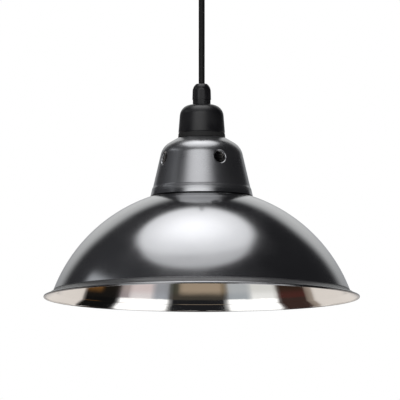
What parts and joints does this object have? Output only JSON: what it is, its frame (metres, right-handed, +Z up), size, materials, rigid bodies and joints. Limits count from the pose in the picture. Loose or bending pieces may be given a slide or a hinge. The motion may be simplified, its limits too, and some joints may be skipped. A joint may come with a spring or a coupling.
{
  "type": "pendant ceiling light",
  "caption": "Pendant ceiling light: a flared metal dome shade with a vented neck and a bright lining, hung from a ceiling canopy on a round black flex.",
  "frame": {"origin": "on the ceiling surface, at the centre of the bracket's screw pattern, on the lamp's axis", "axes": "+Z up along the lamp's axis, so the lamp hangs along -Z; +X along the ceiling bracket"},
  "size_m": [0.3, 0.3, 0.339],
  "materials": {
    "gunmetal_paint": "satin dark pearl metallic",
    "polished_chrome": "polished",
    "black_plastic": "satin moulded thermoplastic",
    "black_nylon": "satin moulded nylon",
    "black_fibre": "matt vulcanised fibre",
    "seal_rubber": "matt",
    "flex_sheath": "matt extruded sheath",
    "zinc_steel": "zinc plated",
    "brass": "bright stamped",
    "white_ceramic": "glazed steatite",
    "natural_nylon": "natural translucent",
    "clear_glass": "clear blown",
    "black_glass": "fused glass",
    "nickel_wire": "nickel plated",
    "phosphor": "silicone phosphor",
    "brown_core": "smooth insulation",
    "blue_core": "smooth insulation"
  },
  "bodies": {
    "ceiling_fitting": {"ceiling_bracket": "zinc_steel", "canopy": "gunmetal_paint", "canopy_screws": "polished_chrome", "terminal_block": "natural_nylon", "block_tubes": "brass", "block_screws": "zinc_steel", "block_fixing_screw": "zinc_steel", "upper_grip_body": "black_nylon", "upper_grip_seal": "seal_rubber", "upper_grip_nut": "black_nylon", "upper_grip_lock_nut": "black_nylon", "flex_tail": "flex_sheath", "live_tail": "brown_core", "neutral_tail": "blue_core"},
    "flex_bend": {"flex_joint": "flex_sheath"},
    "flex_line": {"flex": "flex_sheath"},
    "pendant": {"lower_grip_body": "black_nylon", "lower_grip_seal": "seal_rubber", "lower_grip_nut": "black_nylon", "lower_grip_lock_nut": "black_nylon", "lampholder_cap": "black_plastic", "lampholder_skirt": "black_plastic", "lamp_insert": "white_ceramic", "threaded_shell": "brass", "centre_contact": "brass", "holder_terminals": "brass", "terminal_screws": "zinc_steel", "live_wire": "brown_core", "neutral_wire": "blue_core", "neck": "gunmetal_paint", "dome_shade": "gunmetal_paint"},
    "washer": {"ring_washer": "black_fibre"},
    "ring": {"shade_ring": "black_plastic"},
    "bulb": {"bulb_contact": "brass", "bulb_insulator": "black_glass", "bulb_cap": "polished_chrome", "bulb_glass": "clear_glass", "bulb_stem": "clear_glass", "filament_spiders": "nickel_wire", "bulb_filaments": "phosphor"}
  },
  "joints": [
    {"name": "swing_x", "type": "hinge", "parent": "ceiling_fitting", "child": "flex_bend", "pos_m": [0, 0, -0.0469], "axis": [1, 0, 0], "range_deg": [-20, 20]},
    {"name": "swing_y", "type": "hinge", "parent": "flex_bend", "child": "flex_line", "pos_m": [0, 0, -0.0469], "axis": [0, 1, 0], "range_deg": [-20, 20]},
    {"name": "flex_twist", "type": "hinge", "parent": "flex_line", "child": "pendant", "pos_m": [0, 0, -0.1551], "axis": [0, 0, 1], "range_deg": [-90, 90]},
    {"name": "ring_travel", "type": "slide", "parent": "pendant", "child": "washer", "axis": [0, 0, -1], "range_m": [0, 0.0075]},
    {"name": "ring_turn", "type": "hinge", "parent": "washer", "child": "ring", "pos_m": [0, 0, -0.192], "axis": [0, 0, -1], "range_deg": [0, 1080]},
    {"name": "bulb_removal", "type": "slide", "parent": "pendant", "child": "bulb", "axis": [0, 0, -1], "range_m": [0, 0.15]}
  ],
  "couplings": [
    {"joint": "ring_travel", "follows": "ring_turn", "m_per_rad": 0.00039789}
  ]
}
